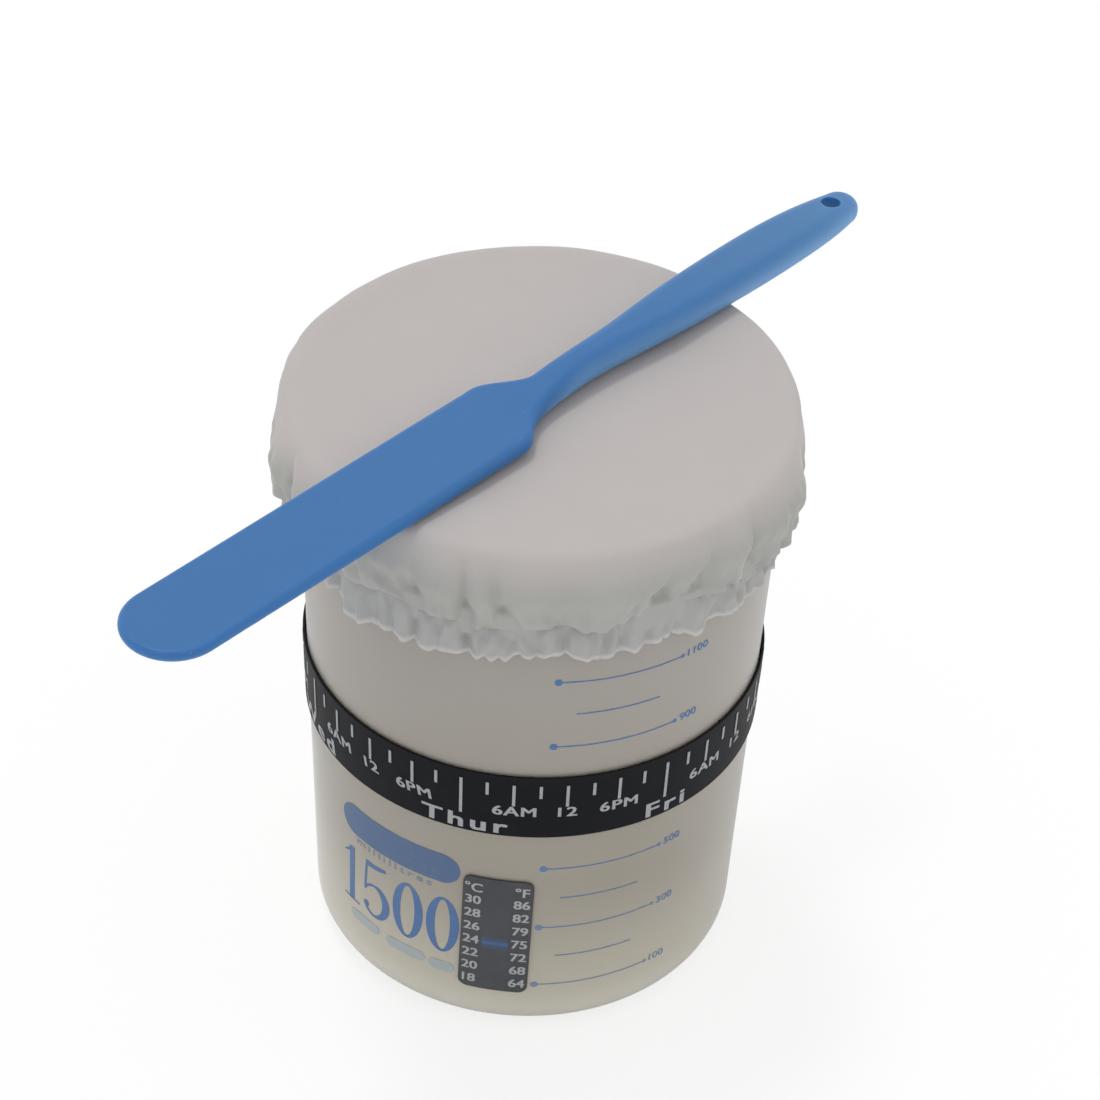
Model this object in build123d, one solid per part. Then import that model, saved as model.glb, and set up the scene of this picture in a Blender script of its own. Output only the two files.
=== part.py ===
from build123d import *
from math import cos, exp, log, pi, radians, sin, tan
import os

# Sourdough starter jar, in millimetres. The origin is the middle of the foot on the table, +Z is up, and
# the thermometer strip and the printed scale face -Y. Angles round the jar count from -Y towards +X.

# Jar
jar_height = 161.4
foot_wall_radius = 54.65
wall_draft_deg = 1.79
wall_thickness = 1.8
bottom_corner_radius = 8.1
inner_corner_radius = 6.3
foot_ring_width = 12.0
foot_recess_depth = 2.6
foot_recess_edge_radius = 1.0
floor_thickness = 2.4
rim_bead_width = 1.7
rim_bead_height = 5.0
rim_bead_radius = 0.8
mouth_edge_radius = 0.5

# Thermometer strip, leaning a little, on the front of the wall
strip_width = 17.8
strip_height = 40.0
strip_corner_radius = 2.4
strip_middle_height = 34.3
strip_middle_angle_deg = -6.2
strip_lean_deg = 1.3
adhesive_thickness = 0.15
adhesive_margin = 0.5
cell_thickness = 0.12
face_thickness = 0.40
cell_count = 7
cell_width = 6.4
cell_height = 3.9
cell_pitch = 4.77
first_cell_drop = 8.5

# Week band
band_bottom_height = 70.5
band_width = 20.1
band_thickness = 0.8
band_clearance = 0.2
band_edge_radius = 0.3
day_count = 7
ticks_per_day = 8
first_day_angle_deg = -15.7
tick_top_margin = 2.5
long_tick_length = 11.6
medium_tick_length = 6.9
short_tick_length = 4.0
tick_width = 0.75
tick_thickness = 0.12
tick_clearance = 0.04

# Cloth cover, with its gathers
cloth_thickness = 0.6
cloth_gap = 0.3
cover_depth = 31.8
elastic_drop = 22.3
bulge_width = 2.9
elastic_line_standoff = 2.475
hem_flare = 1.0
pinch_count = 36
pinch_uneven_share = 0.22
pinch_wander_step_deg = 137.5
puff_depth = 1.1
ruffle_depth = 1.0

# Tape, elastic and thread inside the cover
tape_thickness = 0.25
tape_lip_height = 0.5
elastic_width = 6.0
elastic_thickness = 0.7
elastic_clearance = 0.05
thread_radius = 0.12

# Spatula, lying across the cover
spatula_length = 248.9
blade_width = 24.6
blade_thickness = 4.4
tip_thickness = 3.0
neck_width = 9.2
handle_width = 15.4
handle_thickness = 8.3
end_width = 10.2
end_thickness = 7.0
corner_share = 0.47
spatula_angle_deg = 48.9
spatula_overhang = 134.4
spatula_side_step = 1.8
hang_hole_radius = 2.6
hang_hole_inset = 8.6
core_thickness = 1.4
core_underside = 0.8
core_blade_width = 10.0
core_neck_width = 4.4
core_end_radius = 2.0
core_tip_inset = 24.0
core_handle_inset = 30.0
core_waist_inset = 33.5

# Spatula's shoulder, in shares of its length: the span of its sections, where each side leaves the blade and how
# far it takes to draw in to the neck, and where the thickness rises from the blade's to the handle's
shoulder_span = (0.417, 0.553)
shoulder_count = 18
lower_corner_share = 0.465
lower_fall_share = 0.022
lower_softness_share = 0.004
upper_corner_share = 0.476
upper_fall_share = 0.056
rise_start_share = 0.464
rise_span_share = 0.125
rise_depth_share = 0.96

cutting_overrun = 4.0


def wall_radius(height):
    """Outer radius of the drafted wall at a height above the table."""
    return foot_wall_radius + height * tan(radians(wall_draft_deg))


def turned(points, radii, arc=360):
    """Solid of revolution about the jar's axis, from an outline in radius and height with rounded corners."""
    outline = Plane.XZ * FilletPolyline(*points, radius=radii, close=True)
    return revolve(make_face(outline), axis=Axis.Z, revolution_arc=arc)


def wall_ring(low, high, gap, thickness, edge_radius=0, arc=360):
    """Ring that follows the drafted wall, a gap away from it."""
    points = [
        (wall_radius(low) + gap, low),
        (wall_radius(low) + gap + thickness, low),
        (wall_radius(high) + gap + thickness, high),
        (wall_radius(high) + gap, high),
    ]
    return turned(points, [edge_radius] * len(points), arc)


def jar_body():
    floor_top = foot_recess_depth + floor_thickness
    bead_underside = jar_height - rim_bead_height
    ring_inside = foot_wall_radius - foot_ring_width
    corners = [
        ((0, foot_recess_depth), 0),
        ((ring_inside, foot_recess_depth), foot_recess_edge_radius),
        ((ring_inside, 0), foot_recess_edge_radius),
        ((wall_radius(0), 0), bottom_corner_radius),
        ((wall_radius(bead_underside), bead_underside), rim_bead_radius),
        ((wall_radius(bead_underside) + rim_bead_width, bead_underside), rim_bead_radius),
        ((wall_radius(jar_height) + rim_bead_width, jar_height), rim_bead_radius),
        ((wall_radius(jar_height) - wall_thickness, jar_height), mouth_edge_radius),
        ((wall_radius(floor_top) - wall_thickness, floor_top), inner_corner_radius),
        ((0, floor_top), 0),
    ]
    return turned([point for point, radius in corners], [radius for point, radius in corners])


def strip_plane():
    """Plane through the jar's axis at the strip's middle height, facing out, with its Y up the strip."""
    angle = radians(strip_middle_angle_deg)
    facing = Plane(
        origin=(0, 0, strip_middle_height),
        x_dir=(cos(angle), sin(angle), 0),
        z_dir=(sin(angle), -cos(angle), 0),
    )
    return facing * Rot(0, 0, -strip_lean_deg)


def wall_patch(outline, gap, thickness):
    """Thin plate on the wall: the outline, in the strip's own plane, thrown out onto the drafted ring."""
    half = strip_height / 2 + cutting_overrun
    ring = wall_ring(strip_middle_height - half, strip_middle_height + half, gap, thickness)
    reach = wall_radius(jar_height) + cutting_overrun
    return ring & extrude(strip_plane() * outline, amount=reach)


def cell_outline():
    top = strip_height / 2 - first_cell_drop
    places = [Pos(0, top - row * cell_pitch) for row in range(cell_count)]
    return Sketch() + [place * Rectangle(cell_width, cell_height) for place in places]


def thermometer():
    """Adhesive, temperature cells, and the face with its pockets for the cells."""
    face_outline = RectangleRounded(strip_width, strip_height, strip_corner_radius)
    adhesive_outline = RectangleRounded(
        strip_width - 2 * adhesive_margin,
        strip_height - 2 * adhesive_margin,
        strip_corner_radius - adhesive_margin,
    )
    adhesive = wall_patch(adhesive_outline, 0, adhesive_thickness)
    cells = wall_patch(cell_outline(), adhesive_thickness, cell_thickness)
    face = wall_patch(face_outline, adhesive_thickness, face_thickness) - cells
    return adhesive, cells, face


def week_band():
    top = band_bottom_height + band_width
    return wall_ring(band_bottom_height, top, band_clearance, band_thickness, band_edge_radius)


def tick(length, angle_deg):
    """One printed tick on the band, at its angle round the jar."""
    top = band_bottom_height + band_width - tick_top_margin
    surface = band_clearance + band_thickness + tick_clearance
    arc = tick_width / wall_radius(top) * 180 / pi
    ring = wall_ring(top - length, top, surface, tick_thickness, arc=arc)
    return Rot(0, 0, angle_deg - 90 - arc / 2) * ring


def week_band_ticks():
    count = day_count * ticks_per_day
    lengths = [medium_tick_length, short_tick_length]
    ticks = []
    for number in range(count):
        length = long_tick_length if number % ticks_per_day == 0 else lengths[number % 2]
        ticks.append(tick(length, first_day_angle_deg + number * 360 / count))
    return Compound(children=ticks)


def gathered_outline(radius, depth, height):
    """Closed outline of arcs round the jar, pinched in where the elastic gathers the cloth."""
    pitch = 2 * pi / pinch_count
    uneven = pinch_uneven_share * pitch
    wander = radians(pinch_wander_step_deg)
    angles = [pitch * k + uneven * sin(wander * k) for k in range(pinch_count)]
    angles.append(angles[0] + 2 * pi)
    inner, outer = radius - depth, radius + depth
    arcs = []
    for start, end in zip(angles[:-1], angles[1:]):
        middle = (start + end) / 2
        arcs.append(
            ThreePointArc(
                (inner * cos(start), inner * sin(start), height),
                (outer * cos(middle), outer * sin(middle), height),
                (inner * cos(end), inner * sin(end), height),
            )
        )
    return make_face(arcs)


def cover_top_height():
    return jar_height + cloth_gap + cloth_thickness


def cover_shoulder():
    """Radius and height where the cloth leaves the rounded rim and starts down the side."""
    radius = wall_radius(jar_height) + rim_bead_width + cloth_gap + cloth_thickness
    return radius, jar_height - 2 * rim_bead_radius


def elastic_line():
    """Radius of the cloth and its height where the elastic draws it in."""
    height = cover_top_height() - elastic_drop
    return wall_radius(height) + elastic_line_standoff, height


# Skirt sections down to the elastic: shares of the drop, the draw-in, the bulge and the puffs' depth.
skirt_shares = [
    (0.00, 0.00, 0.00, 0.00),
    (0.25, 0.00, 0.72, 0.10),
    (0.52, 0.00, 1.00, 0.50),
    (0.80, 1.00, 0.50, 1.00),
    (1.00, 1.00, 0.00, 0.35),
]

# Ruffle sections below the elastic: shares of the drop to the hem, of the flare and of the ruffle's depth.
ruffle_shares = [
    (0.50, 0.45, 0.30),
    (1.00, 1.00, 1.00),
]


def skirt_block(inset):
    """Solid inside the skirt's surface, lofted through gathered outlines from the rim to the hem."""
    radius, height = cover_shoulder()
    elastic_radius, elastic_height = elastic_line()
    hem_height = cover_top_height() - cover_depth
    sections = []
    for drop, draw_in, bulge, puff in skirt_shares:
        row_radius = radius + draw_in * (elastic_radius - radius) + bulge * bulge_width - inset
        row_height = height - drop * (height - elastic_height)
        sections.append(gathered_outline(row_radius, puff * puff_depth, row_height))
    for drop, flare, ruffle in ruffle_shares:
        row_radius = elastic_radius + flare * hem_flare - inset
        row_height = elastic_height - drop * (elastic_height - hem_height)
        sections.append(gathered_outline(row_radius, ruffle * ruffle_depth, row_height))
    return loft(sections)


def cover_cloth():
    """Disc over the mouth, rounded over the rim, with its gathered skirt."""
    radius, height = cover_shoulder()
    top = cover_top_height()
    corner = rim_bead_radius + cloth_gap + cloth_thickness
    outer_cap = turned([(0, height), (radius, height), (radius, top), (0, top)], [0, 0, corner, 0])
    inner_radius, inner_top = radius - cloth_thickness, top - cloth_thickness
    inner_corner = corner - cloth_thickness
    inner_cap = turned(
        [(0, height), (inner_radius, height), (inner_radius, inner_top), (0, inner_top)],
        [0, 0, inner_corner, 0],
    )
    return (outer_cap - inner_cap) + (skirt_block(0) - skirt_block(cloth_thickness))


def casing():
    """Tape channel, open towards the cloth, with the elastic in it and the two rows of thread."""
    middle = elastic_line()[1]
    half_elastic = elastic_width / 2
    half_channel = half_elastic + elastic_clearance
    half_tape = half_channel + tape_lip_height
    depth = tape_thickness + elastic_clearance + elastic_thickness
    tape = wall_ring(middle - half_tape, middle + half_tape, cloth_gap, depth)
    channel_gap = cloth_gap + tape_thickness
    tape -= wall_ring(middle - half_channel, middle + half_channel, channel_gap, depth)
    elastic = wall_ring(
        middle - half_elastic,
        middle + half_elastic,
        channel_gap + elastic_clearance,
        elastic_thickness,
    )
    rows = []
    for height in (middle - half_tape + tape_lip_height / 2, middle + half_tape - tape_lip_height / 2):
        radius = wall_radius(height) + cloth_gap + depth + 2 * thread_radius
        rows.append(Pos(0, 0, height) * Torus(radius, thread_radius))
    return tape, elastic, Compound(children=rows)


def across(place, left, right, thickness):
    """Rounded section of the spatula at a place along it, its flat underside at height zero."""
    width = left + right
    plane = Plane(origin=(place, (left - right) / 2, thickness / 2), x_dir=(0, 1, 0), z_dir=(1, 0, 0))
    return plane * RectangleRounded(width, thickness, corner_share * min(width, thickness))


def round_end(place, width, thickness):
    """Half disc with the rounded edge of the section it closes."""
    section = across(place, width / 2, width / 2, thickness)
    near_half = Pos(place, width / 4, thickness / 2) * Box(width, width / 2, thickness)
    return revolve(section & near_half, axis=Axis((place, 0, 0), (0, 0, 1)), revolution_arc=360)


# Handle sections: share of the length, how far the width has gone from the neck's to the handle's, and the
# share of the handle's thickness.
handle_shares = [
    (0.565, 0.00, 0.93),
    (0.629, 0.16, 0.96),
    (0.709, 0.68, 0.98),
    (0.782, 0.94, 1.00),
    (0.854, 1.00, 1.00),
    (0.910, 0.85, 0.96),
    (0.950, 0.56, 0.89),
]


def eased(value):
    """Goes smoothly from 0 to 1 as the value does, and stays there on either side."""
    held = min(max(value, 0), 1)
    return held**2 * (3 - 2 * held)


def shoulder():
    """Sections from the blade to the neck. The lower side turns in at a sharp corner and then ever more slowly,
    the upper side in a soft S, and the blade's taper goes over into the handle's thickness."""
    half, neck = blade_width / 2, neck_width / 2
    first, last = shoulder_span
    taper = (blade_thickness - tip_thickness) / (first * spatula_length - half)
    sections = []
    for number in range(shoulder_count):
        share = first + (last - first) * number / (shoulder_count - 1)
        past_corner = lower_softness_share * log(1 + exp((share - lower_corner_share) / lower_softness_share))
        lower = neck + (half - neck) * exp(-past_corner / lower_fall_share)
        upper = half + (neck - half) * eased((share - upper_corner_share) / upper_fall_share)
        thin = blade_thickness + taper * (share - first) * spatula_length
        rise = eased((share - rise_start_share) / rise_span_share)
        thickness = thin + rise * (rise_depth_share * handle_thickness - thin)
        sections.append(across(share * spatula_length, upper, lower, thickness))
    return sections


def spatula_outside():
    """Whole outside of the spatula, tip at zero and handle end at its length along X."""
    half = blade_width / 2
    end_place = spatula_length - end_width / 2
    sections = shoulder()
    blade = loft([across(half, half, half, tip_thickness), sections[0]], ruled=True)
    for share, spread, depth in handle_shares:
        side = (neck_width + spread * (handle_width - neck_width)) / 2
        sections.append(across(share * spatula_length, side, side, depth * handle_thickness))
    sections.append(across(end_place, end_width / 2, end_width / 2, end_thickness))
    tip = round_end(half, blade_width, tip_thickness)
    end = round_end(end_place, end_width, end_thickness)
    return blade + loft(sections) + tip + end


def spatula_core():
    """Flat strip inside the spatula, wide in the blade and narrow in the neck and handle."""
    blade_side, neck_side = core_blade_width / 2, core_neck_width / 2
    waist = lower_corner_share * spatula_length - core_waist_inset
    end = spatula_length - core_handle_inset
    neck_place = handle_shares[0][0] * spatula_length
    points = [
        (core_tip_inset, -blade_side),
        (waist, -blade_side),
        (neck_place, -neck_side),
        (end, -neck_side),
        (end, neck_side),
        (neck_place, neck_side),
        (waist, blade_side),
        (core_tip_inset, blade_side),
    ]
    radii = [core_end_radius] * len(points)
    outline = make_face(FilletPolyline(*points, radius=radii, close=True))
    return Pos(0, 0, core_underside) * extrude(outline, amount=core_thickness)


def spatula():
    """Skin and core, laid across the cover at their angle."""
    core = spatula_core()
    hole_place = spatula_length - hang_hole_inset
    drill = Cylinder(hang_hole_radius, handle_thickness + cutting_overrun)
    skin = spatula_outside() - Pos(hole_place, 0, handle_thickness / 2) * drill - core
    rest_height = cover_top_height() + cloth_gap
    place = Rot(0, 0, spatula_angle_deg) * Pos(-spatula_overhang, -spatula_side_step, rest_height)
    return place * skin, place * core


def save(name, shape):
    export_step(shape, f"parts/{name}.step")


os.makedirs("parts", exist_ok=True)
save("jar_body", jar_body())
adhesive, cells, face = thermometer()
save("thermometer_adhesive", adhesive)
save("thermometer_crystal_cells", cells)
save("thermometer_face", face)
save("week_band", week_band())
save("week_band_ticks", week_band_ticks())
save("cover_cloth", cover_cloth())
tape, elastic, thread = casing()
save("cover_casing_tape", tape)
save("cover_elastic", elastic)
save("cover_hem_thread", thread)
skin, core = spatula()
save("spatula_skin", skin)
save("spatula_core", core)
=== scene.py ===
from math import cos, pi, radians, sin, tan

import bmesh
import bpy
import numpy as np
from mathutils import Matrix, Vector


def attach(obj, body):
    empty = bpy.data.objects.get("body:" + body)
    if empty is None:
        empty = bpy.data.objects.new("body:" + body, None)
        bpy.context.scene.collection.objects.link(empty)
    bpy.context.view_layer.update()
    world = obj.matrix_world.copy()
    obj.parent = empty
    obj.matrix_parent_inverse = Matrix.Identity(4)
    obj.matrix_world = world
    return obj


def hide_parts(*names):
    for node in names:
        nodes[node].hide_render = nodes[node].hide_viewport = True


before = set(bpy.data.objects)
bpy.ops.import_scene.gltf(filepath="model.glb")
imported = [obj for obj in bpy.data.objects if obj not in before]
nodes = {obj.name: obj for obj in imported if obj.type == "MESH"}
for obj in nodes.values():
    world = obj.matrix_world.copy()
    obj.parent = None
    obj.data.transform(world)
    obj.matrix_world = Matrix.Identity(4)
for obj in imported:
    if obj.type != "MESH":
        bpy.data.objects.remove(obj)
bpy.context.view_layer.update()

# Sourdough starter jar. Lengths are in metres, +Z is up, and the front of the jar faces -Y. Angles round
# the jar count in radians from the front towards +X, which is to the right as seen from the front.

# Jar
# The real one is a 1.5 litre jar in milky polypropylene, moulded in one piece with a drafted wall, a foot
# ring and a rolled rim. The wall lets light through but shows nothing of the inside.
foot_wall_radius = 0.05465
wall_draft = radians(1.79)
jar_height = 0.1614
rim_bead_width = 0.0017
rim_bead_height = 0.0050
# The wall's colours hold painted light, paler and warmer low down and at the foot, and painted shade, darker
# just below the band.
milky_foot_painted_light = (0.98, 0.95, 0.85, 1)
milky_low_painted_light = (0.82, 0.78, 0.64, 1)
milky_middle_painted_shade = (0.430, 0.390, 0.320, 1)
milky_high = (0.470, 0.436, 0.405, 1)
milky_cloud = (0.56, 0.54, 0.49, 1)
milky_glow = (0.66, 0.62, 0.53, 1)
milky_glow_share = 0.36


def wall_radius(height):
    """Outer radius of the jar's wall: the radius at the foot plus the height times the draft's tangent."""
    return foot_wall_radius + height * tan(wall_draft)


class Signal:
    """A value in a material, held as a node's output. Arithmetic on it adds Math nodes, and node() adds any
    other kind, with its settings first and then the values or links of its sockets."""

    def __init__(self, tree, socket=None):
        self.tree = tree
        self.socket = socket

    def node(self, kind, settings=None, inputs=None, output=0):
        made = self.tree.nodes.new(kind)
        for name, value in (settings or {}).items():
            setattr(made, name, value)
        for name, value in (inputs or {}).items():
            if isinstance(value, Signal):
                self.tree.links.new(value.socket, made.inputs[name])
            else:
                made.inputs[name].default_value = value
        return Signal(self.tree, made.outputs[output] if made.outputs else None)

    def maths(self, operation, *values):
        return self.node("ShaderNodeMath", {"operation": operation}, dict(enumerate(values)))

    def __add__(self, other):
        return self.maths("ADD", self, other)

    def __radd__(self, other):
        return self.maths("ADD", other, self)

    def __sub__(self, other):
        return self.maths("SUBTRACT", self, other)

    def __rsub__(self, other):
        return self.maths("SUBTRACT", other, self)

    def __mul__(self, other):
        return self.maths("MULTIPLY", self, other)

    def __rmul__(self, other):
        return self.maths("MULTIPLY", other, self)

    def step(self, low, high):
        """Goes smoothly from 0 where this value is at low to 1 where it is at high."""
        settings = {"interpolation_type": "SMOOTHSTEP"}
        return self.node("ShaderNodeMapRange", settings, {"Value": self, "From Min": low, "From Max": high})

    def pick(self, first, second):
        """The first colour where this value is 0, the second where it is 1."""
        return self.node("ShaderNodeMix", {"data_type": "RGBA"}, {0: self, 6: first, 7: second}, 2)

    def place(self):
        """The point of the surface, in the object's coordinates."""
        return self.node("ShaderNodeTexCoord", output="Object")

    def part(self, axis):
        """One part of this vector: its x for 0, its y for 1 and its z for 2."""
        return self.node("ShaderNodeSeparateXYZ", inputs={0: self}, output=axis)

    def noise(self, point, scale, detail=2.0, stretch=(1, 1, 1)):
        """Soft random values from 0 to 1, about one bump for each 1 / scale metres."""
        moved = self.node("ShaderNodeMapping", inputs={"Vector": point, "Scale": stretch})
        return self.node("ShaderNodeTexNoise", inputs={"Vector": moved, "Scale": scale, "Detail": detail})

    def bump(self, height, depth, strength=1.0):
        """Normal of a surface raised by height, from 0 to 1, times depth in metres."""
        return self.node("ShaderNodeBump", inputs={"Height": height, "Distance": depth, "Strength": strength})

    def surface(self, inputs):
        return self.node("ShaderNodeBsdfPrincipled", inputs=inputs)


def finish_of(name, paint):
    """Material whose nodes are added by paint(start), which returns the surface's shader."""
    made = bpy.data.materials.new(name)
    made.use_nodes = True
    made.node_tree.nodes.clear()
    start = Signal(made.node_tree)
    start.node("ShaderNodeOutputMaterial", inputs={"Surface": paint(start)})
    return made


def dress(node, material):
    """Gives a CAD node its material."""
    mesh = nodes[node].data
    mesh.materials.clear()
    mesh.materials.append(material)


def milky_plastic(start):
    """Milky plastic, painted paler and warmer down to the foot as light and darker just below the band as
    shade, with fine scratches round it and light through it.
    """
    point = start.place()
    z = point.part(2)
    cloud = start.noise(point, 28, 3)
    low = z.step(0.0, 0.055)
    high = z.step(0.060, 0.120)
    foot = z.step(0.003, 0.016)
    # Painted light towards the foot and painted shade just below the band.
    body = high.pick(foot.pick(milky_foot_painted_light, low.pick(milky_low_painted_light, milky_middle_painted_shade)), milky_high)
    clouded = (cloud * 0.35).pick(body, milky_cloud)
    scratches = start.noise(point, 900, 2, (1, 1, 0.06))
    grain = start.noise(point, 2600, 2)
    relief = start.bump(scratches * 0.4 + grain * 0.6, 0.00002, 0.5)
    skin = start.surface(
        {
            "Base Color": clouded,
            "Roughness": 0.34 + cloud * 0.12,
            "IOR": 1.49,
            "Coat Weight": 1 - high * 0.35,
            "Coat Roughness": 0.3,
            "Sheen Weight": 0.85,
            "Sheen Roughness": 0.32,
            "Normal": relief,
        }
    )
    glow = start.node("ShaderNodeBsdfTranslucent", inputs={"Color": milky_glow})
    return start.node("ShaderNodeMixShader", inputs={0: milky_glow_share, 1: skin, 2: glow})


dress("jar_body", finish_of("milky polypropylene", milky_plastic))

# Printed scale
# The real one is blue ink screen printed on the wall: a line every 200 ml with a dot at either end and its
# number, and a shorter line halfway. The lines are thin flat pieces that follow the wall.
print_lift = 0.00004
copy_lift = 0.000006
cut_pitch = 0.0009
print_lean = 0.0192
scale_base_height = 0.0063
scale_step_height = 0.0209
# Each step is 100 ml, counted from the 100 line.
scale_steps = (0, 1, 2, 3, 4, 6, 7, 8, 9, 10)
long_line_angles = (radians(4.1), radians(35.4))
short_line_angles = (radians(8.9), radians(30.0))
line_width = 0.00036
left_dot_radius = 0.00098
right_dot_radius = 0.00058
label_height = 0.0022
label_offset = (0.0015, 0.0003)
ink_blue = (0.048, 0.150, 0.350, 1)
ink_pale = (0.26, 0.30, 0.36, 1)


def mark_line(start, end, width):
    """Flat bar between two points: its four corners stand half the width to either side."""
    (x0, y0), (x1, y1) = start, end
    length = np.hypot(x1 - x0, y1 - y0)
    side = np.array([-(y1 - y0), x1 - x0]) / length * width / 2
    corners = np.array([start - side, end - side, end + side, start + side])
    return corners, [(0, 1, 2, 3)]


def mark_dot(centre, radius, count=28):
    """Flat disc: its rim is a circle of count points about the centre."""
    turn = np.linspace(0, 2 * pi, count, endpoint=False)
    return np.array(centre) + radius * np.stack([np.cos(turn), np.sin(turn)], 1), [tuple(range(count))]


def mark_words(words, centre, height, stretch=1.0, weight=0.0, lean=0.0, anchor="middle", spread=1.0):
    """Flat text: the outline font's mesh, scaled to a letter height and turned by lean about its own place.
    Bold letters are four copies, weight apart across and half as much up, each a hair above the last."""
    curve = bpy.data.curves.new(words, "FONT")
    curve.body = words
    curve.space_character = spread
    curve.resolution_u = 5
    holder = bpy.data.objects.new(words, curve)
    bpy.context.scene.collection.objects.link(holder)
    bpy.context.view_layer.update()
    mesh = bpy.data.meshes.new_from_object(holder.evaluated_get(bpy.context.evaluated_depsgraph_get()))
    flat = np.array([v.co[:2] for v in mesh.vertices])
    faces = [tuple(face.vertices) for face in mesh.polygons]
    bpy.data.objects.remove(holder)
    bpy.data.curves.remove(curve)
    bpy.data.meshes.remove(mesh)
    low, high = flat.min(0), flat.max(0)
    scale = height / (high[1] - low[1])
    start_x = low[0] if anchor == "left" else (low[0] + high[0]) / 2
    flat = (flat - [start_x, (low[1] + high[1]) / 2]) * [scale * stretch, scale]
    turned = np.stack(
        [
            flat[:, 0] * cos(lean) - flat[:, 1] * sin(lean),
            flat[:, 0] * sin(lean) + flat[:, 1] * cos(lean),
        ],
        1,
    )
    if not weight:
        return turned + centre, faces
    copies, copied_faces = [], []
    for number, (across, up) in enumerate(((-1, -1), (1, -1), (-1, 1), (1, 1))):
        moved = turned + centre + np.array([across * weight / 2, up * weight / 4])
        copies.append(np.column_stack([moved, np.full(len(moved), number * copy_lift)]))
        copied_faces += [tuple(corner + number * len(moved) for corner in face) for face in faces]
    return np.concatenate(copies), copied_faces


def wrap_marks(name, marks, material, body, lift, angle=0.0):
    """One mesh of flat marks laid round the wall: a mark's x becomes an arc from the angle, at the wall's
    radius where the mark stands, its y a height, and its z, if it has one, stands out from the wall. Cuts
    across x keep each face short on the curve."""
    shape = bmesh.new()
    for points, faces in marks:
        added = [shape.verts.new((*point, 0)[:3]) for point in points]
        for face in faces:
            shape.faces.new([added[corner] for corner in face])
    shape.normal_update()
    bmesh.ops.reverse_faces(shape, faces=[face for face in shape.faces if face.normal.z < 0])
    left = min(v.co.x for v in shape.verts)
    right = max(v.co.x for v in shape.verts)
    for place in np.arange(left + cut_pitch, right, cut_pitch):
        everything = [*shape.verts, *shape.edges, *shape.faces]
        bmesh.ops.bisect_plane(shape, geom=everything, plane_co=(place, 0, 0), plane_no=(1, 0, 0))
    mesh = bpy.data.meshes.new(name)
    shape.to_mesh(mesh)
    shape.free()
    flat = np.empty(len(mesh.vertices) * 3)
    mesh.vertices.foreach_get("co", flat)
    x, height, proud = flat.reshape(-1, 3).T
    radius = wall_radius(height) + lift + proud
    turn = angle + x / wall_radius(height)
    wrapped = np.stack([radius * np.sin(turn), -radius * np.cos(turn), height], 1)
    mesh.vertices.foreach_set("co", wrapped.ravel())
    mesh.update()
    mesh.materials.append(material)
    piece = bpy.data.objects.new(name, mesh)
    bpy.context.scene.collection.objects.link(piece)
    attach(piece, body)


def blue_ink(start):
    """Thin blue ink, worn in specks and paler towards the foot of the scale."""
    point = start.place()
    worn = start.noise(point, 1500, 3)
    thin = 1 - point.part(2).step(0.015, 0.085)
    colour = (worn.step(0.55, 0.8) * 0.3 + thin * 0.5).pick(ink_blue, ink_pale)
    return start.surface({"Base Color": colour, "Roughness": 0.42 + worn * 0.1})


ink = finish_of("blue screen ink", blue_ink)
scale_marks = []
for step in scale_steps:
    height = scale_base_height + (step + 1) * scale_step_height / 2
    whole = step % 2 == 0
    first, last = long_line_angles if whole else short_line_angles
    leaning = print_lean * height
    start, end = (np.array([turn * wall_radius(height) + leaning, height]) for turn in (first, last))
    scale_marks.append(mark_line(start, end, line_width))
    if whole:
        scale_marks.append(mark_dot(start, left_dot_radius))
        scale_marks.append(mark_dot(end, right_dot_radius))
        number, place = str(100 + 100 * step), end + label_offset
        words = mark_words(number, place, label_height, stretch=1.15, weight=0.00012, anchor="left")
        scale_marks.append(words)
wrap_marks("scale_print", scale_marks, ink, "jar", print_lift)

# Volume print
# The real one is screen printed in the same blue: a solid bar, the jar's volume in tall narrow numerals
# with thin slab feet, and pale bars under them. The bars stay bare, and the volume is in millilitres.
banner_angles = (radians(-54.2), radians(-15.8))
banner_height = 0.0540
banner_depth = 0.0100
unit_angle = radians(-36.0)
unit_middle_height = 0.0475
unit_height = 0.0021
numeral_foot = 0.0241
numeral_height = 0.0193
numeral_one_stem = radians(-51.2)
numeral_five_span = (radians(-46.1), radians(-37.3))
numeral_zero_spans = ((radians(-35.6), radians(-26.2)), (radians(-25.2), radians(-15.9)))
numeral_lean = 0.012
pale_bars = ((-52.0, -40.5, 0.0197), (-38.0, -25.5, 0.0193), (-24.5, -17.0, 0.0187))
pale_bar_depth = 0.0034
banner_blue = (0.045, 0.105, 0.230, 1)
numeral_blue = (0.036, 0.125, 0.320, 1)
unit_blue = (0.17, 0.23, 0.32, 1)
pale_blue = (0.340, 0.385, 0.405, 1)


def mark_ring(centre, outer, inner, count=56):
    """Flat ring between two ellipses on one centre, each given by its half width and half height."""
    turn = np.linspace(0, 2 * pi, count, endpoint=False)
    round_points = np.stack([np.cos(turn), np.sin(turn)], 1)
    points = np.concatenate([centre + round_points * outer, centre + round_points * inner])
    faces = [(k, (k + 1) % count, (k + 1) % count + count, k + count) for k in range(count)]
    return points, faces


def mark_stroke(centres, widths):
    """Flat ribbon along a line of points: each point is moved half its width to either side of the line."""
    centres = np.array(centres)
    along = np.gradient(centres, axis=0)
    along /= np.linalg.norm(along, axis=1)[:, None]
    side = np.stack([-along[:, 1], along[:, 0]], 1) * np.array(widths)[:, None] / 2
    count = len(centres)
    faces = [(k, k + 1, k + 1 + count, k + count) for k in range(count - 1)]
    return np.concatenate([centres - side, centres + side]), faces


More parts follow.
